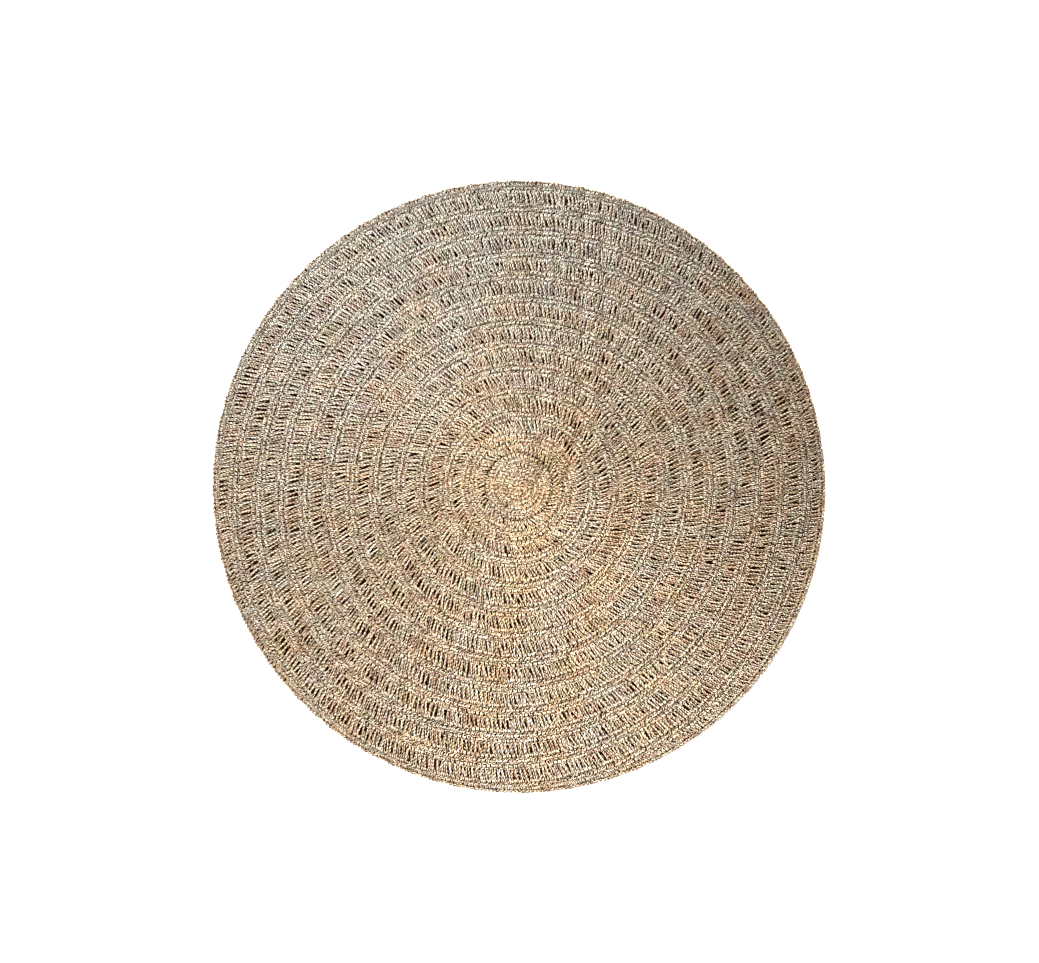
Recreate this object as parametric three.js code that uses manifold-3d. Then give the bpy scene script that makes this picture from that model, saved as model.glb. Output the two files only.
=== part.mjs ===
// A round seagrass rug, crocheted in the round from one cord, from the centre outwards.
// Close rounds stand up as low ridges. Between them lie open rounds of tall stitches, with slits
// between the stitches that go right through the rug.
// Millimetres, +Z up. The rug lies flat on z = 0 with its centre on the origin.
import * as THREE from 'three';
import { mergeVertices } from 'three/addons/utils/BufferGeometryUtils.js';
import Module from 'manifold-3d';

// The rug as a whole
const RUG_RADIUS = 750;
const CENTRE_HOLE_RADIUS = 2.5;
const RIDGE_HEIGHT = 10;
const VALLEY_HEIGHT = 7.5;
const ROUND_STEPS = 60;

// The worked edge: a rounded lip of close stitches
const EDGE_TOP_INSET = 5;
const EDGE_TOP_HEIGHT = 9;
const EDGE_SIDE_HIGH = 6.5;
const EDGE_SIDE_LOW = 2.5;
const EDGE_FOOT_INSET = 3;

// The open rounds, counted from the centre, at the radius of the middle of their slits
const OPEN_ROUNDS = 12;
const FIRST_OPEN_RADIUS = 93;
const ROUND_PITCH = 57.5;
const VALLEY_HALF_WIDTH = 14.5;

// The slits between the tall stitches. Only the widest are cut, one in about ten.
// Each round starts a share of a spacing further on than the last, so that they don't line up.
const SLIT_WIDTH_LEAST = 4.4;
const SLIT_WIDTH_SPREAD = 1.6;
const SLIT_LENGTH_LEAST = 17;
const SLIT_LENGTH_SPREAD = 7;
const SLIT_LEAN = THREE.MathUtils.degToRad(15);
const SLIT_SPACING = 112;
const SLIT_STAGGER = 0.62;
const SLIT_CROWDING = 0.45;
const SLIT_CROWDED_SIDE = THREE.MathUtils.degToRad(65);
const SLIT_LEAST_STRETCH = 0.7;
const SLIT_BOX_HEIGHT = 4 * RIDGE_HEIGHT;

// The rounds were worked unevenly, so they drift out of true towards one side. Each wave moves them
// outwards by at most "out" at the rug's edge, where "at" is the angle clockwise from +Y.
// The edge itself stays round: past the drift's limit, rounds that would cross it are squeezed against it.
const EVEN_DRIFT = 5;
const DRIFT_WAVES = [
  { waves: 1, out: 30, at: 180 },
  { waves: 2, out: 13, at: 214 },
  { waves: 3, out: 6, at: 200 },
];
const DRIFT_GROWTH = 1.5;
const DRIFT_LIMIT = 722;
const SQUEEZE_ROOM = 22;

// Even radii past this one stand for the edge, which is drawn that much further out than it lies.
const WORKED_RADIUS = 760;
const EDGE_OFFSET = 20;

const wasm = await Module();
wasm.setup();

/** How far the work has drifted outwards at the rug's edge, at an angle clockwise from +Y. */
function edgeDrift(angle) {
  return DRIFT_WAVES.reduce(
    (sum, { waves, out, at }) => sum + out * Math.cos(waves * (angle - THREE.MathUtils.degToRad(at))),
    EVEN_DRIFT,
  );
}

/** The radius at which a round of the given even radius really lies. */
function driftedRadius(radius, angle) {
  if (radius > WORKED_RADIUS) return radius - EDGE_OFFSET;
  const drifted = radius + edgeDrift(angle) * (radius / RUG_RADIUS) ** DRIFT_GROWTH;
  const past = Math.max(0, drifted - DRIFT_LIMIT) / SQUEEZE_ROOM;
  return Math.min(drifted, DRIFT_LIMIT) + SQUEEZE_ROOM * (1 - Math.exp(-past));
}

/** How much wider than even the work is at a radius, across the rounds. */
function stretch(radius, angle) {
  const step = 1;
  return (driftedRadius(radius + step, angle) - driftedRadius(radius - step, angle)) / (2 * step);
}

function openRadius(round) {
  return FIRST_OPEN_RADIUS + ROUND_PITCH * round;
}

/** The section from the centre hole to the edge and back underneath, as radius and height. */
function rugSection() {
  const edge = RUG_RADIUS + EDGE_OFFSET;
  const points = [
    new THREE.Vector2(CENTRE_HOLE_RADIUS, 0),
    new THREE.Vector2(edge - EDGE_FOOT_INSET, 0),
    new THREE.Vector2(edge, EDGE_SIDE_LOW),
    new THREE.Vector2(edge, EDGE_SIDE_HIGH),
    new THREE.Vector2(edge - EDGE_TOP_INSET, EDGE_TOP_HEIGHT),
    new THREE.Vector2(openRadius(OPEN_ROUNDS - 1) + ROUND_PITCH / 2, RIDGE_HEIGHT),
  ];
  for (let round = OPEN_ROUNDS - 1; round >= 0; round -= 1) {
    const middle = openRadius(round);
    points.push(new THREE.Vector2(middle + VALLEY_HALF_WIDTH, VALLEY_HEIGHT));
    points.push(new THREE.Vector2(middle - VALLEY_HALF_WIDTH, VALLEY_HEIGHT));
    points.push(new THREE.Vector2(middle - ROUND_PITCH / 2, RIDGE_HEIGHT));
  }
  points.push(new THREE.Vector2(CENTRE_HOLE_RADIUS, RIDGE_HEIGHT));
  points.push(points[0].clone());
  return points;
}

/** Turns a closed geometry into a solid that can be cut. */
function toSolid(geometry) {
  geometry.deleteAttribute('normal');
  geometry.deleteAttribute('uv');
  const merged = mergeVertices(geometry);
  return new wasm.Manifold(new wasm.Mesh({
    numProp: 3,
    vertProperties: new Float32Array(merged.attributes.position.array),
    triVerts: new Uint32Array(merged.index.array),
  }));
}

/** Turns a cut solid back into a geometry. */
function toGeometry(solid) {
  const mesh = solid.getMesh();
  const geometry = new THREE.BufferGeometry();
  geometry.setAttribute('position', new THREE.BufferAttribute(mesh.vertProperties, 3));
  geometry.setIndex(new THREE.BufferAttribute(mesh.triVerts, 1));
  geometry.computeVertexNormals();
  return geometry;
}

/**
 * The whole rug before its slits are cut: ridges and valleys that follow the drift of the work, and
 * level out where the rounds are squeezed against the edge.
 */
function rugBody() {
  const geometry = new THREE.LatheGeometry(rugSection(), ROUND_STEPS);
  geometry.rotateX(Math.PI / 2);
  const position = geometry.attributes.position;
  for (let i = 0; i < position.count; i += 1) {
    const angle = Math.atan2(position.getX(i), position.getY(i));
    const radius = Math.hypot(position.getX(i), position.getY(i));
    const drifted = driftedRadius(radius, angle);
    position.setXY(i, drifted * Math.sin(angle), drifted * Math.cos(angle));
    if (position.getZ(i) >= VALLEY_HEIGHT) {
      const relief = Math.min(1, stretch(radius, angle));
      position.setZ(i, EDGE_TOP_HEIGHT + (position.getZ(i) - EDGE_TOP_HEIGHT) * relief);
    }
  }
  return toSolid(geometry);
}

/** A number from 0 to 1 that makes each slit a little different from the next. */
function unevenness(round, index) {
  return 0.5 + 0.5 * Math.sin(2.4 * index + 1.7 * round);
}

/** The angles of the slits of a round. They crowd together where the work is loosest. */
function slitAngles(round) {
  const count = Math.round((2 * Math.PI * openRadius(round)) / SLIT_SPACING);
  return Array.from({ length: count }, (_, index) => {
    const even = (2 * Math.PI * (index + SLIT_STAGGER * round)) / count;
    return even - (SLIT_CROWDING / 2) * Math.sin(2 * (even - SLIT_CROWDED_SIDE));
  });
}

/** Upright boxes in the places of one open round's slits, leaning as the stitches do. */
function slitBoxes(round) {
  const radius = openRadius(round);
  return slitAngles(round)
    .filter((angle) => stretch(radius, angle) > SLIT_LEAST_STRETCH)
    .map((angle, index) => {
      const uneven = unevenness(round, index);
      const box = new THREE.BoxGeometry(
        SLIT_WIDTH_LEAST + SLIT_WIDTH_SPREAD * uneven,
        SLIT_LENGTH_LEAST + SLIT_LENGTH_SPREAD * uneven,
        SLIT_BOX_HEIGHT,
      );
      box.rotateZ(SLIT_LEAN - angle);
      const drifted = driftedRadius(radius, angle);
      box.translate(drifted * Math.sin(angle), drifted * Math.cos(angle), 0);
      return toSolid(box);
    });
}

/** The rug with its slits cut through it, in the colour of dry seagrass. */
function makeRug() {
  const slits = Array.from({ length: OPEN_ROUNDS }, (_, round) => slitBoxes(round)).flat();
  const rug = rugBody().subtract(wasm.Manifold.union(slits));
  const seagrass = new THREE.MeshStandardMaterial({ color: 0xbfa587, roughness: 0.8, metalness: 0 });
  const mesh = new THREE.Mesh(toGeometry(rug), seagrass);
  mesh.name = 'rug';
  return mesh;
}

const group = new THREE.Group();
group.add(makeRug());

export default group;
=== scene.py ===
"""Dresses the round seagrass rug: each crochet stitch is a few strands of cord, laid over a thin ground.

Lengths are millimetres until a mesh is written, which is in metres. Angles on the rug run clockwise from +Y,
as on a clock face. A strand's sideways place is counted clockwise too, so that it, the way outwards and the
way up make a right-handed frame.
"""

import logging
import math
from dataclasses import dataclass, field
from enum import Enum
from functools import partial

import bmesh
import bpy
import numpy as np
from mathutils import Matrix, Vector


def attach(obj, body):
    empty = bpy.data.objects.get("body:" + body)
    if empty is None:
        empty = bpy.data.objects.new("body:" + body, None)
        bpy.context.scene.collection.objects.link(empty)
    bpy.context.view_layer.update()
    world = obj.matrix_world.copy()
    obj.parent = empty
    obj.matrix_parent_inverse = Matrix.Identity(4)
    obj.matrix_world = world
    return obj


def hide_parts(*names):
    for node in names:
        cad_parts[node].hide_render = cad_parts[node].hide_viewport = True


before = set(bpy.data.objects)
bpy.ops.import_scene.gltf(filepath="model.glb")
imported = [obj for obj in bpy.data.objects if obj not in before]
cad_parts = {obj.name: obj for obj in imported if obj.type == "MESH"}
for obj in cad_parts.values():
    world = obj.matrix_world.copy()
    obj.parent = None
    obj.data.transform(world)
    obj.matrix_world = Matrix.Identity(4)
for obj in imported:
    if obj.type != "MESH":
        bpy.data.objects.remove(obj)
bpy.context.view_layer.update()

log = logging.getLogger("seagrass_rug")

MM = 0.001


def linear(hex_colour: str) -> tuple[float, float, float, float]:
    """Turns an sRGB hex value to linear light.

    Args:
        hex_colour: Six hex digits after a hash sign.

    Returns:
        Red, green, blue and a full alpha.
    """
    parts = [int(hex_colour[i:i + 2], 16) / 255 for i in (1, 3, 5)]
    bent = [p / 12.92 if p <= 0.04045 else ((p + 0.055) / 1.055) ** 2.4 for p in parts]
    return (*bent, 1.0)


def add_node(
    tree: bpy.types.NodeTree, kind: str, inputs: dict | None = None, **settings: object,
) -> bpy.types.Node:
    """Adds a node with its settings and links.

    Args:
        tree: The node tree to add it to.
        kind: The shader node's type.
        inputs: What goes into its sockets, by name or number. An output socket is linked, and so is a
            node's first output in use. Anything else is set as the socket's value.
        **settings: The node's own properties.

    Returns:
        The new node.
    """
    node = tree.nodes.new(f"ShaderNode{kind}")
    for name, value in settings.items():
        setattr(node, name, value)
    for name, value in (inputs or {}).items():
        if isinstance(value, bpy.types.Node):
            value = next(output for output in value.outputs if output.enabled)
        if isinstance(value, bpy.types.NodeSocket):
            tree.links.new(value, node.inputs[name])
        else:
            node.inputs[name].default_value = value
    return node


def even_angles(radius: float, spacing: float, turned: float = 0.0, least: int = 1) -> np.ndarray:
    """The angles of places about `spacing` apart round a circle, moved on by `turned` places."""
    count = max(least, round(2 * math.pi * radius / spacing))
    return 2 * math.pi * (np.arange(count) + turned) / count


@dataclass(frozen=True)
class DriftWave:
    """One wave of the drift: it moves the work outwards by `out` where the angle is `at` degrees."""

    waves: int
    out: float
    at: float


@dataclass(frozen=True)
class Rounds:
    """Where the crocheted rounds lie. They are even circles that drift out of true towards one side."""

    rug_radius: float = 750
    first_open_radius: float = 93
    pitch: float = 57.5
    open_rounds: int = 12
    even_drift: float = 5
    drift_waves: tuple[DriftWave, ...] = (DriftWave(1, 30, 180), DriftWave(2, 13, 214), DriftWave(3, 6, 200))
    drift_growth: float = 1.5
    drift_limit: float = 722
    squeeze_room: float = 22
    slit_spacing: float = 112
    slit_stagger: float = 0.62
    slit_crowding: float = 0.45
    slit_crowded_side: float = 65
    stitch_spacing: float = 10.4

    def edge_drift(self, angle: np.ndarray) -> np.ndarray:
        """How far the work has drifted outwards at the rug's edge."""
        waves = (w.out * np.cos(w.waves * (angle - math.radians(w.at))) for w in self.drift_waves)
        return self.even_drift + sum(waves)

    def drifted(self, radius: np.ndarray, angle: np.ndarray) -> np.ndarray:
        """The radius at which a place of the given even radius really lies.

        Args:
            radius: The even radii.
            angle: The places' angles.

        Returns:
            The drifted radii, squeezed together where they would cross the rim.
        """
        drifted = radius + self.edge_drift(angle) * (radius / self.rug_radius) ** self.drift_growth
        past = np.maximum(0, drifted - self.drift_limit) / self.squeeze_room
        return np.minimum(drifted, self.drift_limit) + self.squeeze_room * (1 - np.exp(-past))

    def inside(self, batch: "Strands", radius: float) -> "Strands":
        """Those strands of a batch whose middles lie within the radius."""
        return batch.kept(self.drifted((batch.inner + batch.outer) / 2, batch.angle) < radius)

    def open_radius(self, index: int) -> float:
        """The even radius of the middle of an open round's slits."""
        return self.first_open_radius + self.pitch * index

    def looseness(self, angle: np.ndarray) -> np.ndarray:
        """From -1 where the work is tightest to 1 where it is loosest."""
        return np.cos(2 * (angle - math.radians(self.slit_crowded_side)))

    def slit_angles(self, index: int) -> np.ndarray:
        """The angles of the slits right through an open round, closest together where it is loosest."""
        even = even_angles(self.open_radius(index), self.slit_spacing, self.slit_stagger * index)
        return even - self.slit_crowding / 2 * np.sin(2 * (even - math.radians(self.slit_crowded_side)))

    def stitch_angles(self, index: int) -> tuple[np.ndarray, np.ndarray]:
        """The angles of a round's stitches, with each slit half way between two of them.

        Args:
            index: The round, counted from the centre.

        Returns:
            The angles, and for each stitch whether a slit lies on its clockwise side.
        """
        count = round(2 * math.pi * self.open_radius(index) / self.stitch_spacing)
        slits = np.sort(self.slit_angles(index) % (2 * math.pi))
        before = np.round(slits * count / (2 * math.pi) - 0.5).astype(int)
        gaps = np.concatenate([[before[-1] - count], before, [before[0] + count]]) + 0.5
        places = np.concatenate([[slits[-1] - 2 * math.pi], slits, [slits[0] + 2 * math.pi]])
        by_slit = np.zeros(count, bool)
        by_slit[before % count] = True
        return np.interp(np.arange(count), gaps, places), by_slit


@dataclass
class Tube:
    """A straight closed tube of radius 1 from y = 0 to y = 1, from which every strand is bent."""

    sides: int
    steps: int
    points: np.ndarray = field(init=False)
    corners: np.ndarray = field(init=False)
    face_starts: np.ndarray = field(init=False)
    around: np.ndarray = field(init=False)

    def __post_init__(self) -> None:
        """Models the tube once and keeps its points, face corners and the corners' place around it."""
        work = bmesh.new()
        bmesh.ops.create_cone(work, cap_ends=True, segments=self.sides, radius1=1, radius2=1, depth=1)
        for step in range(1, self.steps):
            everything = work.verts[:] + work.edges[:] + work.faces[:]
            middle = Vector((0, 0, step / self.steps - 0.5))
            bmesh.ops.bisect_plane(work, geom=everything, plane_co=middle, plane_no=(0, 0, 1))
        bmesh.ops.translate(work, vec=(0, 0, 0.5), verts=work.verts)
        laid_down = Matrix.Rotation(math.radians(-90), 3, "X")
        bmesh.ops.rotate(work, cent=(0, 0, 0), matrix=laid_down, verts=work.verts)
        work.verts.index_update()
        corners, starts, around = [], [], []
        for face in work.faces:
            starts.append(len(corners))
            turns = [math.atan2(v.co.z, v.co.x) / (2 * math.pi) % 1 for v in face.verts]
            over_seam = max(turns) - min(turns) > 0.5 and len(turns) == 4
            around.extend(t + 1 if over_seam and t < 0.5 else t for t in turns)
            corners.extend(v.index for v in face.verts)
        self.points = np.array([v.co[:] for v in work.verts])
        self.corners, self.face_starts, self.around = np.array(corners), np.array(starts), np.array(around)
        work.free()


@dataclass(frozen=True)
class StrandPlan:
    """How one strand of a stitch lies, counted from the stitch's own place.

    `inner` and `outer` are radii, `start` and `end` the sideways places of those two ends, and `foot`,
    `crown` and `head` the heights of the middle line at its inner end, half way and at its outer end. `roll`
    turns the section in degrees, `bulge` moves the middle outwards, and `tone` makes the strand lighter.
    """

    sides: int
    steps: int
    inner: float
    outer: float
    start: float
    end: float
    half_width: float
    half_thickness: float
    foot: float
    crown: float
    head: float
    roll: float = 0.0
    bulge: float = 0.0
    tone: float = 1.0


@dataclass(frozen=True)
class Unevenness:
    """How far handwork strays from its plan: spreads in millimetres, degrees or shares."""

    along: float = 0.8
    side: float = 0.7
    lean: float = 7.0
    bow: float = 0.6
    height: float = 0.3
    width: float = 0.12
    lumps: float = 0.10


@dataclass
class Strands:
    """A batch of strands, with one number for each strand in every field."""

    angle: np.ndarray
    inner: np.ndarray
    outer: np.ndarray
    start: np.ndarray
    end: np.ndarray
    bow: np.ndarray
    sway: np.ndarray
    bulge: np.ndarray
    foot: np.ndarray
    crown: np.ndarray
    head: np.ndarray
    half_width: np.ndarray
    half_thickness: np.ndarray
    roll: np.ndarray
    lumps: np.ndarray
    tone: np.ndarray
    hue: np.ndarray

    TAPER_POWER = 6
    TAPER_LEAST = 0.45
    LUMPS_ALONG = 1.7
    NUDGE = 0.01
    LEAST_RADIUS = 2.0

    def kept(self, mask: np.ndarray) -> "Strands":
        """The strands for which the mask holds."""
        return Strands(**{name: getattr(self, name)[mask] for name in self.__dataclass_fields__})

    def axis(self, along: np.ndarray) -> np.ndarray:
        """The strands' middle lines.

        Args:
            along: The places along a strand, from 0 to 1.

        Returns:
            The way sideways, the even radius and the height, as strands by places by 3.
        """
        t = along[None, :]
        col = {name: getattr(self, name)[:, None] for name in self.__dataclass_fields__}
        side = col["start"] + (col["end"] - col["start"]) * t
        side = side + col["bow"] * np.sin(math.pi * t) + col["sway"] * np.sin(2 * math.pi * t)
        out = col["inner"] + (col["outer"] - col["inner"]) * t + col["bulge"] * np.sin(math.pi * t)
        up = col["foot"] * (1 - t) * (1 - 2 * t)
        up = up + col["crown"] * 4 * t * (1 - t) + col["head"] * t * (2 * t - 1)
        return np.stack([side, out, up], axis=-1)

    def lay(self, tube: Tube, rounds: Rounds | None) -> np.ndarray:
        """Bends the tube to each strand and lays it on the rug.

        Args:
            tube: The straight tube.
            rounds: The rounds that the strands drift with, or None for strands that follow the true circle.

        Returns:
            The points' places in millimetres, as strands by points by 3.
        """
        along = tube.points[:, 1]
        middle = self.axis(along)
        way = self.axis(along + self.NUDGE) - self.axis(along - self.NUDGE)
        way /= np.linalg.norm(way, axis=-1, keepdims=True)
        flat_way = way[..., :2] / np.linalg.norm(way[..., :2], axis=-1, keepdims=True)
        sideways = np.stack([flat_way[..., 1], -flat_way[..., 0], np.zeros(flat_way.shape[:-1])], axis=-1)
        upwards = np.cross(sideways, way)
        taper = np.sqrt(np.maximum(1 - np.abs(2 * along - 1) ** self.TAPER_POWER, self.TAPER_LEAST ** 2))
        lumps = 1 + self.lumps[:, None] * np.sin(2 * math.pi * (self.LUMPS_ALONG * along + self.hue[:, None]))
        wide = tube.points[None, :, 0] * taper * lumps * self.half_width[:, None]
        thick = tube.points[None, :, 2] * taper * lumps * self.half_thickness[:, None]
        cos, sin = np.cos(self.roll)[:, None], np.sin(self.roll)[:, None]
        spot = middle + sideways * (wide * cos - thick * sin)[..., None]
        spot = spot + upwards * (wide * sin + thick * cos)[..., None]
        angle = self.angle[:, None] + spot[..., 0] / np.maximum(spot[..., 1], self.LEAST_RADIUS)
        radius = spot[..., 1] if rounds is None else rounds.drifted(spot[..., 1], angle)
        return np.stack([radius * np.sin(angle), radius * np.cos(angle), spot[..., 2]], axis=-1)


@dataclass(frozen=True)
class FadingAndPaintedLight:
    """How the grass has faded: golden in the middle and greyer outwards. The extra greying towards the key
    light's side is a painted cool sheen.

    Slow waves that cross at random make patches that are more or less faded, and others of another hue.
    The lightness carries painted light too: a painted sheen that lightens two opposite sectors and a painted
    shade across them, painted shade on one side outwards, and painted shade on the band at the rim.
    """

    rug_radius: float = 750.0
    middle: float = 0.04
    outwards: float = 1.18
    levelling: float = 0.5
    # Greying towards one side, the key light's side: a painted cool sheen.
    cool_sheen_sidewards: float = 0.36
    cool_sheen_side: float = 347.0
    patches: float = 0.16
    patch_size: float = 170.0
    patch_waves: int = 5
    patch_stretch: tuple[float, float] = (0.7, 1.6)
    lightness: float = 1.12
    darker_outwards: float = 0.17
    # A painted sheen and shade: lighter in two opposite sectors, darker across them, more so outwards.
    sheen_way: float = 338.0
    sheen_by: float = 0.095
    sheen_outwards: float = 0.10
    sheen_greying: float = 0.1
    # Painted shade: darker towards one side of the rug, more so outwards.
    shade_way: float = 110.0
    shade_sidewards: float = 0.04
    # Painted shade on the band at the rim, where the edge turns down away from the light.
    rim_from: float = 732.0
    rim_width: float = 6.0
    rim_shade: float = 0.14
    hue_patches: float = 0.36
    hue_patch_sizes: tuple[float, float] = (20.0, 110.0)
    hue_waves: int = 12
    seed: int = 5

    def at(self, x: np.ndarray, y: np.ndarray) -> tuple[np.ndarray, np.ndarray, np.ndarray]:
        """How faded and how light the grass is at places on the rug, painted sheen and shade included, and
        which way its hue leans.

        Args:
            x: Millimetres towards +X.
            y: Millimetres towards +Y.

        Returns:
            How faded, from 0 to 1, with painted sheen in it; the lightness as a factor, with painted sheen
            and painted shade in it; and what is added to the hue.
        """
        draws = np.random.default_rng(self.seed)
        share = np.hypot(x, y) / self.rug_radius
        clock = np.arctan2(x, y)
        # Painted cool sheen: the grass is greyed more towards the key light's side.
        towards = math.radians(self.cool_sheen_side)
        side = (x * math.sin(towards) + y * math.cos(towards)) / self.rug_radius
        faded_and_sheen = self.middle + (self.outwards - self.levelling * share) * share + self.cool_sheen_sidewards * side
        for way in draws.uniform(0, 2 * math.pi, self.patch_waves):
            across = (x * math.sin(way) + y * math.cos(way)) / self.patch_size
            across = across * draws.uniform(*self.patch_stretch)
            faded_and_sheen = faded_and_sheen + self.patches / 2 * np.sin(across * 2 * math.pi + draws.uniform(0, 2 * math.pi))
        # Painted sheen where the strands lie along the key light, and painted shade where they lie across it.
        painted_sheen = np.cos(2 * (clock - math.radians(self.sheen_way)))
        painted_sheen = painted_sheen * (self.sheen_by + self.sheen_outwards * share ** 2)
        hue = np.zeros_like(share)
        for size in draws.uniform(*self.hue_patch_sizes, self.hue_waves):
            way = draws.uniform(0, 2 * math.pi)
            across = (x * math.sin(way) + y * math.cos(way)) / size
            height = self.hue_patches / math.sqrt(self.hue_waves)
            hue = hue + height * np.sin(2 * math.pi * (across + draws.random()))
        light = self.lightness - self.darker_outwards * share + painted_sheen
        # Painted shade: darker towards one side of the rug, more so outwards.
        light = light - self.shade_sidewards * share * np.cos(clock - math.radians(self.shade_way))
        # Painted shade on the band at the rim.
        rim = np.clip((share * self.rug_radius - self.rim_from) / self.rim_width, 0, 1)
        light = light * (1 - rim * self.rim_shade)
        # The painted sheen also greys the grass a little.
        return np.clip(faded_and_sheen + self.sheen_greying * painted_sheen, 0, 1), light, hue


@dataclass
class StitchWork:
    """Gathers batches of strands and joins them into one mesh."""

    FIBRE_ATTRIBUTE = "fibre"
    UV_NAME = "cord"
    UV_LENGTH = 10.0
    UV_STAGGER = 7.3

    name: str
    points: list[np.ndarray] = field(default_factory=list)
    corners: list[np.ndarray] = field(default_factory=list)
    face_starts: list[np.ndarray] = field(default_factory=list)
    uvs: list[np.ndarray] = field(default_factory=list)
    fibres: list[np.ndarray] = field(default_factory=list)
    point_count: int = 0
    corner_count: int = 0

    def add(self, strands: Strands, plan: StrandPlan, rounds: Rounds | None) -> None:
        """Lays a batch of strands and adds them to the work.

        Args:
            strands: The batch.
            plan: Their plan, which says how many sides and steps they have.
            rounds: The rounds that they drift with, or None for the true circle.
        """
        count = len(strands.angle)
        if not count:
            return
        tube = Tube(plan.sides, plan.steps)
        per_points, per_corners = len(tube.points), len(tube.corners)
        steps = np.arange(count)[:, None]
        self.points.append(strands.lay(tube, rounds).reshape(-1, 3) * MM)
        self.corners.append((tube.corners[None] + steps * per_points + self.point_count).ravel())
        self.face_starts.append((tube.face_starts[None] + steps * per_corners + self.corner_count).ravel())
        length = np.abs(strands.outer - strands.inner) + np.abs(strands.end - strands.start) / 2
        along = tube.points[tube.corners, 1][None] * length[:, None] + self.UV_STAGGER * steps
        around = np.broadcast_to(tube.around[None], along.shape)
        self.uvs.append(np.stack([around, along / self.UV_LENGTH], axis=-1).reshape(-1, 2))
        middle = (strands.inner + strands.outer) / 2
        if rounds is not None:
            middle = rounds.drifted(middle, strands.angle)
        # The lightness and the faded share carry painted sheen and shade into the fibre attribute.
        faded_and_sheen, lightness, hue = FadingAndPaintedLight().at(middle * np.sin(strands.angle), middle * np.cos(strands.angle))
        hue = np.clip(strands.hue + hue, 0, 1)
        fibre = np.stack([strands.tone * lightness, hue, faded_and_sheen, np.ones(count)], axis=-1)
        self.fibres.append(np.repeat(fibre, per_points, axis=0))
        self.point_count += count * per_points
        self.corner_count += count * per_corners

    def piece(self, material: bpy.types.Material) -> bpy.types.Object:
        """Writes the joined mesh.

        Args:
            material: Its finish.

        Returns:
            The new object, linked to the scene.
        """
        points, corners = np.concatenate(self.points), np.concatenate(self.corners)
        starts = np.concatenate(self.face_starts)
        mesh = bpy.data.meshes.new(self.name)
        mesh.vertices.add(len(points))
        mesh.vertices.foreach_set("co", points.astype(np.float32).ravel())
        mesh.loops.add(len(corners))
        mesh.loops.foreach_set("vertex_index", corners.astype(np.int32))
        mesh.polygons.add(len(starts))
        mesh.polygons.foreach_set("loop_start", starts.astype(np.int32))
        mesh.polygons.foreach_set("use_smooth", np.ones(len(starts), bool))
        layer = mesh.uv_layers.new(name=self.UV_NAME)
        layer.uv.foreach_set("vector", np.concatenate(self.uvs).astype(np.float32).ravel())
        fibre = mesh.attributes.new(self.FIBRE_ATTRIBUTE, "FLOAT_COLOR", "POINT")
        fibre.data.foreach_set("color", np.concatenate(self.fibres).astype(np.float32).ravel())
        mesh.update(calc_edges=True)
        return place(mesh, material)


def place(mesh: bpy.types.Mesh, material: bpy.types.Material) -> bpy.types.Object:
    """Links a new object to the scene, named as its mesh is.

    Args:
        mesh: Its mesh.
        material: Its finish.

    Returns:
        The new object.
    """
    mesh.materials.append(material)
    piece = bpy.data.objects.new(mesh.name, mesh)
    bpy.context.scene.collection.objects.link(piece)
    return piece


class Part(Enum):
    """The strands that make up the stitches."""

    POST = "post"
    SECOND = "second"
    CROSSING = "crossing"
    INNER_FILLER = "inner_filler"
    OUTER_FILLER = "outer_filler"
    LINER = "liner"
    BACKING = "backing"
    LEFT_LEG = "left_leg"
    RIGHT_LEG = "right_leg"
    TOP_LOOP = "top_loop"
    RIM_LOOP = "rim_loop"


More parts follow.
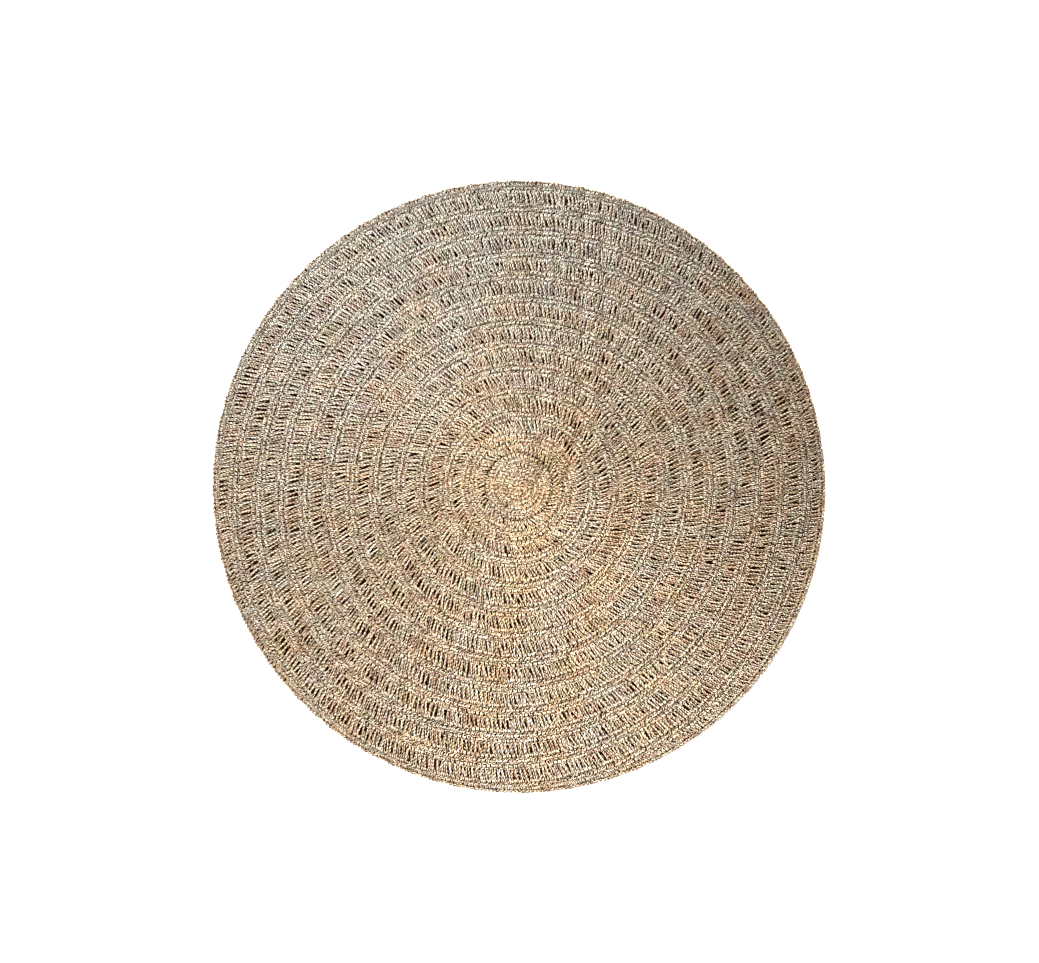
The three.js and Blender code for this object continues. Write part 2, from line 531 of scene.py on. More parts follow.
# Tones under 1 on the second strand, the fillers and the backing are painted shade: these lower strands are
# darkened as if shade fell on them.
STRAND_PLANS = {
    Part.POST: StrandPlan(
        sides=4, steps=5, inner=-15.5, outer=16.5, start=3.8, end=-5.6, half_width=1.45, half_thickness=1.5,
        foot=5.0, crown=6.6, head=5.2, roll=-10,
    ),
    Part.SECOND: StrandPlan(
        sides=3, steps=4, inner=-15.0, outer=15.5, start=7.2, end=-2.0, half_width=1.6, half_thickness=1.5,
        foot=4.4, crown=5.5, head=4.8, roll=170, tone=0.9,
    ),
    Part.CROSSING: StrandPlan(
        sides=3, steps=2, inner=-3.4, outer=3.4, start=9.2, end=3.0, half_width=1.0, half_thickness=1.1,
        foot=4.4, crown=5.4, head=4.6, roll=180, tone=0.95,
    ),
    Part.INNER_FILLER: StrandPlan(
        sides=3, steps=3, inner=-14.0, outer=-2.6, start=11.5, end=8.1, half_width=1.8, half_thickness=1.4,
        foot=4.4, crown=4.6, head=3.0, roll=170, tone=0.84,
    ),
    Part.OUTER_FILLER: StrandPlan(
        sides=3, steps=3, inner=2.2, outer=14.5, start=6.8, end=3.1, half_width=1.8, half_thickness=1.4,
        foot=3.0, crown=4.6, head=4.4, roll=170, tone=0.84,
    ),
    # The liners' tone of 0.2 is near-black painted shade that lines the slits.
    Part.LINER: StrandPlan(
        sides=3, steps=3, inner=-14, outer=14, start=3.7, end=-3.7, half_width=1.4, half_thickness=0.9,
        foot=2.2, crown=1.9, head=2.2, roll=180, tone=0.2,
    ),
    Part.BACKING: StrandPlan(
        sides=3, steps=2, inner=-0.8, outer=0.8, start=2.3, end=8.7, half_width=6.0, half_thickness=1.2,
        foot=4.3, crown=4.9, head=4.3, tone=0.74,
    ),
    Part.LEFT_LEG: StrandPlan(
        sides=3, steps=2, inner=-6.6, outer=4.4, start=-1.9, end=-3.2, half_width=1.7, half_thickness=1.9,
        foot=4.2, crown=7.2, head=4.8, roll=180, tone=1.32,
    ),
    Part.RIGHT_LEG: StrandPlan(
        sides=3, steps=2, inner=-6.4, outer=4.2, start=2.2, end=3.4, half_width=1.7, half_thickness=1.9,
        foot=4.0, crown=6.9, head=4.6, roll=180, tone=1.28,
    ),
    Part.TOP_LOOP: StrandPlan(
        sides=3, steps=2, inner=3.4, outer=5.6, start=-4.4, end=3.4, half_width=1.5, half_thickness=1.5,
        foot=5.2, crown=7.2, head=5.2, roll=180, tone=1.22,
    ),
    Part.RIM_LOOP: StrandPlan(
        sides=4, steps=5, inner=-5.5, outer=-6.8, start=4.8, end=-4.6, half_width=2.3, half_thickness=1.8,
        foot=7.0, crown=4.9, head=2.2, bulge=4.0,
    ),
}

TALL_PARTS = (Part.POST, Part.SECOND, Part.LINER)
FILLER_PARTS = (Part.INNER_FILLER, Part.OUTER_FILLER)
SHORT_PARTS = (Part.BACKING, Part.RIGHT_LEG, Part.LEFT_LEG, Part.TOP_LOOP)


@dataclass
class CordRuns:
    """The colour of the cord, which stays alike over a few stitches and then changes with the next blades."""

    seed: int
    run_length: float = 6.0
    hue_spread: float = 0.05
    tone_spread: float = 0.12
    run_share: float = 0.15
    own_share: float = 1.1
    tone_range: tuple[float, float] = (0.4, 1.5)

    def draws(self, *place_numbers: int) -> np.random.Generator:
        """A generator of its own for each row, told by whole numbers."""
        return np.random.default_rng([self.seed, *place_numbers])

    def colours(self, draws: np.random.Generator, count: int) -> tuple[np.ndarray, np.ndarray]:
        """Draws the tones and the hues of a row of strands.

        Args:
            draws: The row's generator.
            count: The number of strands.

        Returns:
            The tones and the hues.
        """
        runs = np.cumsum(draws.random(count) < 1 / self.run_length)
        hue = draws.random(count + 1)[runs] + self.hue_spread * draws.normal(size=count)
        straying = self.run_share * draws.normal(size=count + 1)[runs]
        straying = straying + self.own_share * draws.normal(size=count)
        return np.clip(1 + self.tone_spread * straying, *self.tone_range), np.clip(hue, 0, 1)


@dataclass
class Hand:
    """The hand that works the stitches: it turns a plan into uneven strands, one for each stitch."""

    WANDER_NUMBER = 502
    STRAY_LIMIT = 2
    SWAY_SHARE = 0.6
    LEAST_LUMPY_STEPS = 4

    runs: CordRuns
    tall_unevenness: Unevenness = Unevenness(along=1.2, side=0.7, lean=7, bow=0.6)
    filler_unevenness: Unevenness = Unevenness(along=2.3, side=0.6, lean=6, bow=0.4)
    short_unevenness: Unevenness = Unevenness(along=0.8, side=0.85, lean=9, bow=0.4, height=0.4)
    rim_unevenness: Unevenness = Unevenness(along=0.4, side=0.5, lean=4, bow=0.3, height=0.2)
    wander_by: float = 0.6
    wander_waves: int = 4
    wander_lengths: tuple[float, float] = (90.0, 380.0)

    def wander(self, angle: np.ndarray, radius: float, place_numbers: tuple[int, ...]) -> np.ndarray:
        """How far a row strays outwards along its way round, in slow waves.

        Args:
            angle: The stitches' angles.
            radius: The row's radius.
            place_numbers: Whole numbers that tell this row from the others.

        Returns:
            Millimetres outwards for each stitch.
        """
        draws = self.runs.draws(self.WANDER_NUMBER, *place_numbers)
        straying = np.zeros(len(angle))
        for length in draws.uniform(*self.wander_lengths, self.wander_waves):
            waves = max(1, round(2 * math.pi * radius / length))
            straying += np.sin(waves * angle + draws.uniform(0, 2 * math.pi))
        return self.wander_by / math.sqrt(self.wander_waves) * straying

    def strands(
        self, part: Part, angle: np.ndarray, radius: float, place_numbers: tuple[int, ...],
        side: float | np.ndarray = 0.0, slant: float = 0.0, reach: float = 1.0,
        outwards: float | np.ndarray = 0.0,
    ) -> Strands:
        """Works one strand of every stitch of a row.

        Args:
            part: Which strand of the stitch.
            angle: The stitches' angles.
            radius: The radius that the plan's own radii are counted from.
            place_numbers: Whole numbers that tell this row from the others.
            side: How far each stitch is moved clockwise.
            slant: How far the strands lean clockwise more than planned, in millimetres for each one outwards.
            reach: How long the strands are, as a share of the planned length.
            outwards: How far each stitch is moved outwards.

        Returns:
            The row's strands.
        """
        plan = STRAND_PLANS[part]
        inner, outer = plan.inner * reach, plan.outer * reach
        middle, half = (plan.start + plan.end) / 2, (plan.start - plan.end) / 2 * reach
        uneven = self.short_unevenness
        if part in TALL_PARTS:
            uneven = self.tall_unevenness
        elif part in FILLER_PARTS:
            uneven = self.filler_unevenness
        elif part is Part.RIM_LOOP:
            uneven = self.rim_unevenness
        count = len(angle)
        draws = self.runs.draws(list(Part).index(part), *place_numbers)
        tone, hue = self.runs.colours(draws, count)
        noise = draws.normal(size=(7, count)).clip(-self.STRAY_LIMIT, self.STRAY_LIMIT)
        lean = np.radians(uneven.lean) * noise[0] * abs(outer - inner) / 2
        side = side + uneven.side * noise[1]
        height = uneven.height * noise[2]
        if part is not Part.RIM_LOOP:
            radius = radius + self.wander(angle, radius, place_numbers[:2]) + outwards
        lumps = uneven.lumps if plan.steps >= self.LEAST_LUMPY_STEPS else 0.0
        return Strands(
            angle=angle,
            inner=radius + inner + uneven.along * noise[3],
            outer=radius + outer + uneven.along * noise[4],
            start=side + middle + half + slant * inner + lean,
            end=side + middle - half + slant * outer - lean,
            bow=uneven.bow * noise[5],
            sway=self.SWAY_SHARE * uneven.bow * noise[6],
            bulge=np.full(count, plan.bulge),
            foot=plan.foot + height,
            crown=plan.crown + height,
            head=plan.head + height,
            half_width=plan.half_width * (1 + uneven.width * noise[5]),
            half_thickness=np.full(count, plan.half_thickness),
            roll=np.full(count, math.radians(plan.roll)),
            lumps=np.full(count, lumps),
            tone=plan.tone * tone,
            hue=hue,
        )


@dataclass
class ShortRow:
    """A row of short stitches, each a V of two legs and a loop over a backing.

    Rows with an odd last number lean clockwise outwards and the others the other way, which gives the
    herringbone. `rim_radius` is where the rows stop that are squeezed against the edge.
    """

    hand: Hand
    rounds: Rounds | None
    rim_radius: float = 738.5
    herringbone: float = 0.36

    def add_to(
        self, work: StitchWork, angle: np.ndarray, radius: float, place_numbers: tuple[int, ...],
    ) -> None:
        """Works the row.

        Args:
            work: What the row is added to.
            angle: The stitches' angles.
            radius: The even radius of the row's middle.
            place_numbers: Whole numbers that tell this row from the others.
        """
        slant = self.herringbone if place_numbers[-1] % 2 else -self.herringbone
        for part in SHORT_PARTS:
            batch = self.hand.strands(part, angle, radius, place_numbers, slant=slant)
            if self.rounds is not None:
                batch = self.rounds.inside(batch, self.rim_radius)
            work.add(batch, STRAND_PLANS[part], self.rounds)


@dataclass
class CrochetRound:
    """One repeat of the work: an open round of tall stitches, and three rows of short ones outside it.

    The first repeat has four short rows, and its tall stitches slant more. Short strands cross some of the
    gaps between the tall stitches, and fillers close part of others, more of them where the work is tight.
    """

    CHANCES_NUMBER = 501

    index: int
    rounds: Rounds
    hand: Hand
    rim_radius: float = 737.0
    short_rows: tuple[float, ...] = (17.25, 28.75, 40.25)
    first_short_rows: tuple[float, ...] = (12.5, 23.2, 34.0, 44.8)
    stagger: float = 0.31
    slit_middle: float = 5.45
    liner_offsets: tuple[float, ...] = (-2.9, 0.0, 2.9)
    slant_outwards: float = 0.05
    slant_inwards: float = 0.33
    slant_rounds: float = 2.2
    first_reaches: tuple[float, ...] = (0.72, 0.84, 0.94, 1.0)
    closer_where_loose: float = 0.7
    crossed_share: float = 0.55
    crossing_room: float = 9.0
    post_slope: float = -0.3
    filled_share: float = 0.6
    filled_less_outwards: float = 0.12
    filled_less_loose: float = 0.1

    def add_tall(
        self, work: StitchWork, part: Part, angle: np.ndarray, turn: int = 0, **setting: float | np.ndarray,
    ) -> None:
        """Works one strand of each of those tall stitches, but drops those past the rim radius.

        Args:
            work: What the strands are added to.
            part: Which strand of the stitch.
            angle: The stitches' angles.
            turn: Tells strands of the same part from each other.
            **setting: The side, slant, reach or outwards that Hand.strands takes.
        """
        middle = self.rounds.open_radius(self.index)
        batch = self.hand.strands(part, angle, middle, (self.index, 0, turn), **setting)
        work.add(self.rounds.inside(batch, self.rim_radius), STRAND_PLANS[part], self.rounds)

    def add_posts(self, work: StitchWork) -> None:
        """Works the tall stitches: a post, a second strand beside it, and what fills or lines the gaps.

        Args:
            work: What the strands are added to.
        """
        angle, by_slit = self.rounds.stitch_angles(self.index)
        loose = self.rounds.looseness(angle)
        far_out = self.index / (self.rounds.open_rounds - 1)
        slant = self.slant_outwards - self.slant_inwards * math.exp(-self.index / self.slant_rounds)
        reach = self.first_reaches[min(self.index, len(self.first_reaches) - 1)]
        closer = -self.closer_where_loose * np.maximum(loose, 0)
        self.add_tall(work, Part.POST, angle, slant=slant, reach=reach)
        self.add_tall(work, Part.SECOND, angle, side=closer, slant=slant, reach=reach)
        share = self.filled_share - self.filled_less_outwards * far_out - self.filled_less_loose * loose
        draws = self.hand.runs.draws(self.CHANCES_NUMBER, self.index)
        to_fill, to_cross, cross_places = draws.random((3, 2, len(angle)))
        for part, chance in zip(FILLER_PARTS, to_fill):
            self.add_tall(work, part, angle[(chance < share) & ~by_slit], slant=slant, reach=reach)
        for turn, (chance, cross_place) in enumerate(zip(to_cross, cross_places)):
            crossed = (chance < self.crossed_share) & ~by_slit
            moved = self.crossing_room * reach * (2 * cross_place[crossed] - 1)
            side = (slant + self.post_slope) * moved
            self.add_tall(work, Part.CROSSING, angle[crossed], turn, side=side, slant=slant, outwards=moved)
        # The liners are near-black painted shade in the slits.
        for turn, offset in enumerate(self.liner_offsets):
            self.add_tall(work, Part.LINER, angle[by_slit], turn, side=self.slit_middle + offset)

    def build(self, material: bpy.types.Material) -> bpy.types.Object:
        """Joins the rows of this repeat.

        Args:
            material: Their finish.

        Returns:
            The piece.
        """
        work = StitchWork(f"crochet_round_{self.index + 1}")
        self.add_posts(work)
        row = ShortRow(self.hand, self.rounds)
        for number, offset in enumerate(self.short_rows if self.index else self.first_short_rows):
            radius = self.rounds.open_radius(self.index) + offset
            angle = even_angles(radius, self.rounds.stitch_spacing, self.stagger * number)
            row.add_to(work, angle, radius, (self.index, number))
        return work.piece(material)


@dataclass
class Centre:
    """The closely worked start: small rows of short stitches about a tiny hole, in a calmer hand."""

    PLACE_NUMBER = 99

    rounds: Rounds
    hand: Hand
    radii: tuple[float, ...] = (9.5, 20.5, 31.5, 42.5, 53.5, 64.5, 75.5)
    stitch_spacing: float = 9.6
    least_stitches: int = 8
    stagger: float = 0.37
    herringbone: float = 0.5
    wander_by: float = 0.2
    unevenness: Unevenness = Unevenness(along=0.4, side=0.5, lean=5, bow=0.3, height=0.3)

    def build(self, material: bpy.types.Material) -> bpy.types.Object:
        """Joins the centre's rows.

        Args:
            material: Their finish.

        Returns:
            The piece.
        """
        work = StitchWork("crochet_centre")
        calm = Hand(self.hand.runs, short_unevenness=self.unevenness, wander_by=self.wander_by)
        row = ShortRow(calm, self.rounds, herringbone=self.herringbone)
        for number, radius in enumerate(self.radii):
            angle = even_angles(radius, self.stitch_spacing, self.stagger * number, self.least_stitches)
            row.add_to(work, angle, radius, (self.PLACE_NUMBER, number))
        return work.piece(material)


@dataclass
class Edge:
    """The worked edge: a last row of short stitches and the loops that turn over the rim."""

    ROW_NUMBERS = (50, 0)
    LOOP_NUMBERS = (51,)

    hand: Hand
    radius: float = 749.2
    last_row_inset: float = 10.3
    stitch_spacing: float = 10.6

    def build(self, material: bpy.types.Material) -> bpy.types.Object:
        """Joins the rows of the edge.

        Args:
            material: Their finish.

        Returns:
            The piece.
        """
        work = StitchWork("crochet_edge")
        angle = even_angles(self.radius, self.stitch_spacing)
        row = ShortRow(self.hand, None)
        row.add_to(work, angle, self.radius - self.last_row_inset, self.ROW_NUMBERS)
        loops = self.hand.strands(Part.RIM_LOOP, angle, self.radius, self.LOOP_NUMBERS)
        work.add(loops, STRAND_PLANS[Part.RIM_LOOP], None)
        return work.piece(material)


@dataclass
class Ground:
    """The thin ground under the strands: the backs of the stitches, with the rug's slits cut through.

    From above, its top is a sheet of painted shade between the strands.
    """

    node: str = "rug"
    ridge_height: float = 10.0
    valley_height: float = 7.5
    flat_ridge: float = 4.6
    flat_valley: float = 1.9
    foot_height: float = 1.0
    rim_radius: float = 744.0
    rim_flattening: float = 0.5
    edge_low: float = 2.2
    inset_share: float = 0.9965
    merge_distance: float = 0.01

    def build(self, material: bpy.types.Material) -> bpy.types.Object:
        """Flattens a copy of the rug's own solid.

        Args:
            material: Its finish.

        Returns:
            The piece.
        """
        work = bmesh.new()
        work.from_mesh(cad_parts[self.node].data)
        bmesh.ops.remove_doubles(work, verts=work.verts, dist=self.merge_distance * MM)
        steepness = (self.flat_ridge - self.flat_valley) / (self.ridge_height - self.valley_height)
        middle_height = self.flat_valley - steepness * self.valley_height
        rim = self.rim_radius * MM
        for vert in work.verts:
            height = vert.co.z / MM
            if vert.co.xy.length >= rim:
                vert.co.z = min(height * self.rim_flattening, self.edge_low) * MM
            elif height > self.foot_height:
                vert.co.z = (middle_height + steepness * height) * MM
        outer = [v for v in work.verts if v.co.xy.length > rim]
        bmesh.ops.scale(work, vec=(self.inset_share, self.inset_share, 1), verts=outer)
        mesh = bpy.data.meshes.new("stitch_ground_and_shade")
        work.to_mesh(mesh)
        work.free()
        return place(mesh, material)


def empty_material(name: str) -> bpy.types.Material:
    """Starts a material without nodes.

    Args:
        name: Its name.

    Returns:
        The material.
    """
    material = bpy.data.materials.new(name)
    material.use_nodes = True
    material.node_tree.nodes.clear()
    return material


@dataclass(frozen=True)
class SeagrassCord:
    """Dried seagrass, split and twisted by hand into a thin cord.

    The blades have a waxy skin, so the cord is matt with a faint silky shine along its length, and the
    colour changes from straw to tan, with a few greenish, reddish and brown blades. The grooves of the twist
    are painted dark and brown as painted shade, and the knobs between them painted lighter as a painted
    highlight. Darker tones are turned browner, as painted warm light bounced about in shade. Its knobs are
    drawn 9 mm apart, coarser than the real ones, because finer ones blur.
    """

    name: str = "twisted_seagrass_cord"
    blade_colours: tuple[tuple[float, str], ...] = (
        (0.00, "#a6ad80"),
        (0.06, "#c9c693"),
        (0.16, "#ddd8b8"),
        (0.45, "#e4dfca"),
        (0.70, "#e2cdad"),
        (0.86, "#ddb89a"),
        (0.95, "#ce9e84"),
        (1.00, "#a27e68"),
    )
    weathered: str = "#d7dbdc"
    sunned: str = "#eed3b0"
    faded_share: float = 0.62
    roughness: float = 0.38
    shine: float = 0.2
    streak_scale: tuple[float, float, float] = (2.0, 2.2, 1.0)
    streak_roughness: float = 0.6
    streak_range: tuple[float, float] = (0.32, 0.68)
    streak_tones: tuple[float, float] = (0.42, 1.27)
    knob_length: float = 9.0
    knob_top: float = 0.15
    # The twist's grooves are painted shade and its knobs a painted highlight.
    painted_groove_shade: float = 0.1
    painted_knob_highlight: float = 1.18
    # Darker tones turn browner: painted warm light bounced about in shade.
    green_depth: float = 1.36
    blue_depth: float = 1.82
    streak_relief: float = 0.8
    relief: float = 0.6

    def material(self) -> bpy.types.Material:
        """Builds the finish from the strands' fibre attribute and their own UV map.

        Returns:
            The material.
        """
        material = empty_material(self.name)
        add = partial(add_node, material.node_tree)
        fibre = add("Attribute", attribute_name=StitchWork.FIBRE_ATTRIBUTE)
        parts = add("SeparateColor", {0: fibre.outputs["Color"]})
        uv = add("UVMap", uv_map=StitchWork.UV_NAME)
        ramp = add("ValToRGB", {0: parts.outputs["Green"]})
        elements = ramp.color_ramp.elements
        for position, _ in self.blade_colours[1:-1]:
            elements.new(position)
        for element, (position, colour) in zip(elements, self.blade_colours):
            element.position = position
            element.color = linear(colour)
        # The faded share, the fibre's blue, carries a painted cool sheen too.
        aged_and_sheen = add(
            "Mix", {0: parts.outputs["Blue"], 6: linear(self.sunned), 7: linear(self.weathered)},
            data_type="RGBA",
        )
        tinted = add("Mix", {0: self.faded_share, 6: ramp, 7: aged_and_sheen}, data_type="RGBA")
        stretched = add("Mapping", {"Vector": uv.outputs["UV"], "Scale": self.streak_scale})
        streaks = add(
            "TexNoise", {"Vector": stretched, "Scale": 1.0, "Roughness": self.streak_roughness},
            noise_dimensions="2D",
        )
        streak_tone = add(
            "MapRange",
            {"Value": streaks, "From Min": self.streak_range[0], "From Max": self.streak_range[1],
             "To Min": self.streak_tones[0], "To Max": self.streak_tones[1]},
        )
        strand_tone = add("Math", {0: parts.outputs["Red"], 1: streak_tone}, operation="MULTIPLY")
        place_uv = add("SeparateXYZ", {0: uv.outputs["UV"]})
        turns = add(
            "Math",
            {0: place_uv.outputs["Y"], 1: StitchWork.UV_LENGTH / self.knob_length, 2: place_uv.outputs["X"]},
            operation="MULTIPLY_ADD",
        )
        wound = add("Math", {0: turns, 1: 2 * math.pi}, operation="MULTIPLY")
        ply = add("Math", {0: wound}, operation="SINE")
        # Painted shade in the twist's grooves and a painted highlight on the knobs between them.
        ply_shade_and_highlight = add(
            "MapRange",
            {"Value": ply, "From Min": -1.0, "From Max": self.knob_top,
             "To Min": self.painted_groove_shade, "To Max": self.painted_knob_highlight},
        )
        tone = add("Math", {0: strand_tone, 1: ply_shade_and_highlight}, operation="MULTIPLY")
        # Darker tones turn browner: painted warm light bounced about in shade.
        depth = add("Math", {0: tone, 1: 1.0}, operation="MINIMUM")
        channels = [tone]
        for power in (self.green_depth, self.blue_depth):
            browner = add("Math", {0: depth, 1: power - 1}, operation="POWER")
            channels.append(add("Math", {0: browner, 1: tone}, operation="MULTIPLY"))
        tone_colour = add("CombineColor", dict(enumerate(channels)))
        colour = add("Mix", {0: 1.0, 6: tinted, 7: tone_colour}, data_type="RGBA", blend_type="MULTIPLY")
        shine = add("Math", {0: tone, 1: self.shine}, operation="MULTIPLY")
        height = add("Math", {0: streaks, 1: self.streak_relief, 2: ply}, operation="MULTIPLY_ADD")
        bump = add("Bump", {"Height": height, "Distance": self.relief * MM})
        shader = add(
            "BsdfPrincipled",
            {"Base Color": colour, "Roughness": self.roughness, "Specular IOR Level": shine, "Normal": bump},
        )
        add("OutputMaterial", {"Surface": shader})
        return material


@dataclass(frozen=True)
class StitchBacksAndShade:
    """The backs of the stitches: the same seagrass, pressed flat on the floor and rubbed quite matt.

    From above it is painted near black, as painted shade for the deep shade between the strands, and a
    little lighter on the ridges. Turned over, it shows rows of small flattened stitches that lean one way and
    the other in turn, with painted shade in the grooves between them.
    """

    name: str = "seagrass_backs_and_painted_shade"
    # The top's colours are painted shade: near black low down, dark brown on the ridges.
    shaded: str = "#1f1006"
    between: str = "#302012"
    pressed: str = "#b39c78"
    roughness: float = 0.75
    shine: float = 0.0
    under_heights: tuple[float, float] = (0.4, 1.2)
    ridge_heights: tuple[float, float] = (2.0, 3.4)
    row_pitch: float = 11.5
    stitch_spacing: float = 10.4
    lean: float = 0.8
    stray: float = 9.0
    stray_size: float = 14.3
    roundness: float = 0.6
    # The grooves between the underside's stitches are painted shade.
    painted_groove_shade: float = 0.25
    blotch_size: float = 6.25
    blotch_share: float = 0.35
    stitch_relief: float = 1.2
    relief: float = 1.0
    bump_strength: float = 0.8

    def stitches(self, tree: bpy.types.NodeTree, where: bpy.types.NodeSocket) -> bpy.types.Node:
        """Works rings of small cushions, one for the back of each stitch.

        Args:
            tree: The node tree to add them to.
            where: The Object coordinates.

        Returns:
            The node of a height from 0 in the grooves between the stitches to 1 in their middles.
        """
        add = partial(add_node, tree)
        straying = add("TexNoise", {"Vector": where, "Scale": 1 / (self.stray_size * MM), "Detail": 1.0})
        strayed = add(
            "VectorMath", {0: straying.outputs["Color"], 1: (self.stray * MM,) * 3, 2: where},
            operation="MULTIPLY_ADD",
        )
        parts = add("SeparateXYZ", {0: strayed})
        clock = add("Math", {0: parts.outputs["X"], 1: parts.outputs["Y"]}, operation="ARCTAN2")
        radius = add("VectorMath", {0: strayed}, operation="LENGTH")
        row = add("Math", {0: radius, 1: self.row_pitch * MM}, operation="DIVIDE")
        number = add("Math", {0: row}, operation="FLOOR")
        more = 2 * math.pi * self.row_pitch / self.stitch_spacing
        needed = add("Math", {0: number, 1: more, 2: more / 2}, operation="MULTIPLY_ADD")
        count = add("Math", {0: needed}, operation="ROUND")
        half_count = add("Math", {0: count, 1: 0.5}, operation="MULTIPLY")
        to_and_fro = add("Math", {0: row, 1: 1.0}, operation="PINGPONG")
        lean = add("Math", {0: to_and_fro, 1: self.lean * math.pi}, operation="MULTIPLY")
        along = add("Math", {0: clock, 1: half_count, 2: lean}, operation="MULTIPLY_ADD")
        across = add("Math", {0: row, 1: math.pi}, operation="MULTIPLY")
        waves = []
        for turn in (across, along):
            wave = add("Math", {0: turn}, operation="SINE")
            waves.append(add("Math", {0: wave}, operation="ABSOLUTE"))
        cushions = add("Math", dict(enumerate(waves)), operation="MULTIPLY")
        return add("Math", {0: cushions, 1: self.roundness}, operation="POWER")

    def material(self) -> bpy.types.Material:
        """Builds the finish from the ground's own Object coordinates.

        Returns:
            The material.
        """
        material = empty_material(self.name)
        add = partial(add_node, material.node_tree)
        where = add("TexCoord").outputs["Object"]
        up = add("SeparateXYZ", {0: where}).outputs["Z"]
        # Painted shade: above the pressed underside, the top is painted near black, a little lighter on the
        # ridges.
        upper, ridge = (
            add("MapRange", {"Value": up, "From Min": low * MM, "From Max": high * MM})
            for low, high in (self.under_heights, self.ridge_heights)
        )
        top = add("Mix", {0: ridge, 6: linear(self.shaded), 7: linear(self.between)}, data_type="RGBA")
        stitches = self.stitches(material.node_tree, where)
        # Painted shade in the grooves between the underside's stitches.
        stitch_groove_shade = add("MapRange", {"Value": stitches, "To Min": self.painted_groove_shade})
        under = add(
            "Mix", {0: 1.0, 6: linear(self.pressed), 7: stitch_groove_shade},
            data_type="RGBA", blend_type="MULTIPLY",
        )
        tone = add("Mix", {0: upper, 6: under, 7: top}, data_type="RGBA")
        blotches = add("TexNoise", {"Vector": where, "Scale": 1 / (self.blotch_size * MM)})
        mottled = add(
            "Mix", {0: self.blotch_share, 6: tone, 7: blotches},
            data_type="RGBA", blend_type="MULTIPLY",
        )
        height = add("Math", {0: stitches, 1: self.stitch_relief, 2: blotches}, operation="MULTIPLY_ADD")
        bump = add("Bump", {"Height": height, "Strength": self.bump_strength, "Distance": self.relief * MM})
        shader = add(
            "BsdfPrincipled",
            {"Base Color": mottled, "Roughness": self.roughness,
             "Specular IOR Level": self.shine, "Normal": bump},
        )
        add("OutputMaterial", {"Surface": shader})
        return material


def hang(lamp: bpy.types.Light, clock: float, elevation: float, distance: float) -> None:
    """Hangs a lamp so that it faces the rug's middle.

    Args:
        lamp: The lamp.
        clock: The clock angle that it hangs towards, in degrees.
        elevation: How high it hangs, in degrees.
        distance: How far away it is, in millimetres.
    """
    turn, rise = math.radians(clock), math.radians(elevation)
    way = Vector((math.sin(turn) * math.cos(rise), math.cos(turn) * math.cos(rise), math.sin(rise)))
    holder = bpy.data.objects.new(lamp.name, lamp)
    holder.location = way * distance * MM
    holder.rotation_euler = way.to_track_quat("Z", "Y").to_euler()
    holder.visible_camera = False
    bpy.context.scene.collection.objects.link(holder)


@dataclass(frozen=True)
class SoftBox:
    """A square soft light that faces the rug's middle, hung at a clock angle and an elevation in degrees."""

    name: str
    clock: float
    elevation: float
    distance: float
    size: float
    power: float
    colour: str = "#fafbff"

    def hang(self) -> None:
        """Hangs the light in the scene."""
        lamp = bpy.data.lights.new(self.name, "AREA")
        lamp.energy = self.power
        lamp.size = self.size * MM
        lamp.color = linear(self.colour)[:3]
        hang(lamp, self.clock, self.elevation, self.distance)


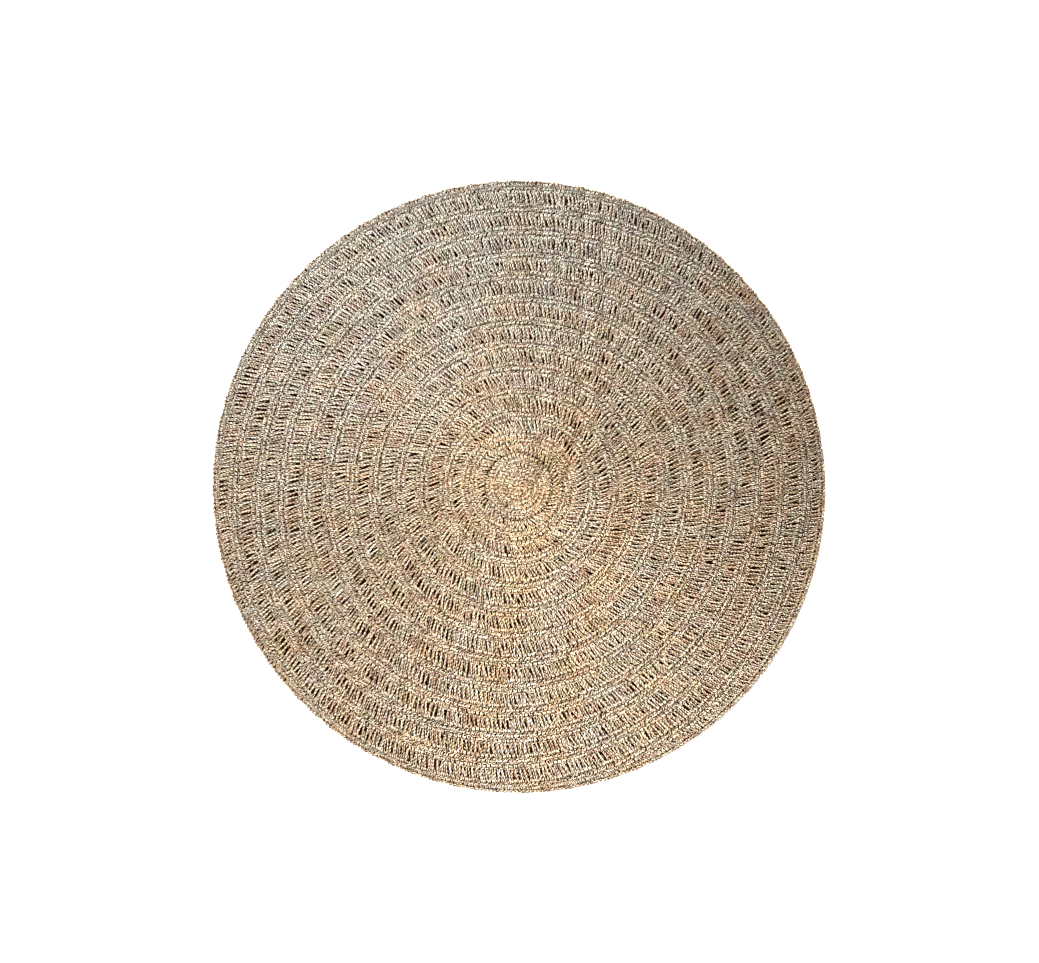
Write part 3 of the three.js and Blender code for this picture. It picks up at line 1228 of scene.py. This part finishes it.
@dataclass
class Studio:
    """A plain pale floor, soft light from the rug's +Y side and less of it from its left, and the camera.

    The camera looks straight down from a little off the rug's centre, as in the photograph.
    """

    camera_height: float = 6000.0
    millimetres_per_pixel: float = 2.445
    image_width: int = 1039
    right_of_centre: float = 2.4
    above_centre: float = 12.2
    sensor_width: float = 36.0
    key_clock: float = 345.0
    key_elevation: float = 32.0
    key_strength: float = 9.35
    key_softness: float = 12.0
    fill: SoftBox = SoftBox("fill_light", clock=240, elevation=35, distance=2700, size=1000, power=105)
    sky_strength: float = 0.53
    sky_colour: str = "#f6e0c4"
    floor_colour: str = "#fbfaf8"
    floor_roughness: float = 0.9
    floor_size: float = 12000.0
    floor_drop: float = 0.2

    def floor(self) -> None:
        """Lays the floor just under the rug. Its matt paint shows no reflections."""
        work = bmesh.new()
        bmesh.ops.create_grid(work, x_segments=1, y_segments=1, size=self.floor_size / 2 * MM)
        bmesh.ops.translate(work, vec=(0, 0, -self.floor_drop * MM), verts=work.verts)
        mesh = bpy.data.meshes.new("floor")
        work.to_mesh(mesh)
        work.free()
        material = bpy.data.materials.new("painted_floor")
        material.use_nodes = True
        shader = material.node_tree.nodes["Principled BSDF"]
        shader.inputs["Base Color"].default_value = linear(self.floor_colour)
        shader.inputs["Roughness"].default_value = self.floor_roughness
        place(mesh, material)

    def light(self) -> None:
        """Hangs the key and the fill light and sets the sky."""
        key = bpy.data.lights.new("key_light", "SUN")
        key.energy = self.key_strength
        key.angle = math.radians(self.key_softness)
        hang(key, self.key_clock, self.key_elevation, self.fill.distance)
        self.fill.hang()
        world = bpy.data.worlds.new("sky")
        world.use_nodes = True
        background = world.node_tree.nodes["Background"]
        background.inputs["Color"].default_value = linear(self.sky_colour)
        background.inputs["Strength"].default_value = self.sky_strength
        bpy.context.scene.world = world
        bpy.context.scene.view_settings.view_transform = "Standard"

    def camera(self) -> None:
        """Hangs the camera above the rug, a little off its centre as in the photograph."""
        lens = bpy.data.cameras.new("camera")
        lens.sensor_width = self.sensor_width
        lens.lens = self.sensor_width * self.camera_height / (self.millimetres_per_pixel * self.image_width)
        camera = bpy.data.objects.new("camera", lens)
        camera.location = Vector((self.right_of_centre, self.above_centre, self.camera_height)) * MM
        bpy.context.scene.collection.objects.link(camera)
        bpy.context.scene.camera = camera

    def build(self) -> None:
        """Builds the whole studio."""
        self.floor()
        self.light()
        self.camera()


def dress(piece: bpy.types.Object) -> bpy.types.Object:
    """Makes a piece ride on the rug's body and logs its faces.

    Args:
        piece: The piece.

    Returns:
        The same piece.
    """
    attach(piece, "root")
    log.info("%s: %d faces", piece.name, len(piece.data.polygons))
    return piece


def main() -> None:
    """Builds the studio and every piece of the rug in order."""
    logging.basicConfig(level=logging.INFO, format="%(name)s: %(message)s")
    Studio().build()
    rounds, hand = Rounds(), Hand(CordRuns(seed=20))
    cord = SeagrassCord().material()
    ground = dress(Ground().build(StitchBacksAndShade().material()))
    strands = [dress(Centre(rounds, hand).build(cord))]
    for index in range(rounds.open_rounds):
        strands.append(dress(CrochetRound(index, rounds, hand).build(cord)))
    strands.append(dress(Edge(hand).build(cord)))
    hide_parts("rug")


if __name__ == "__main__":
    main()
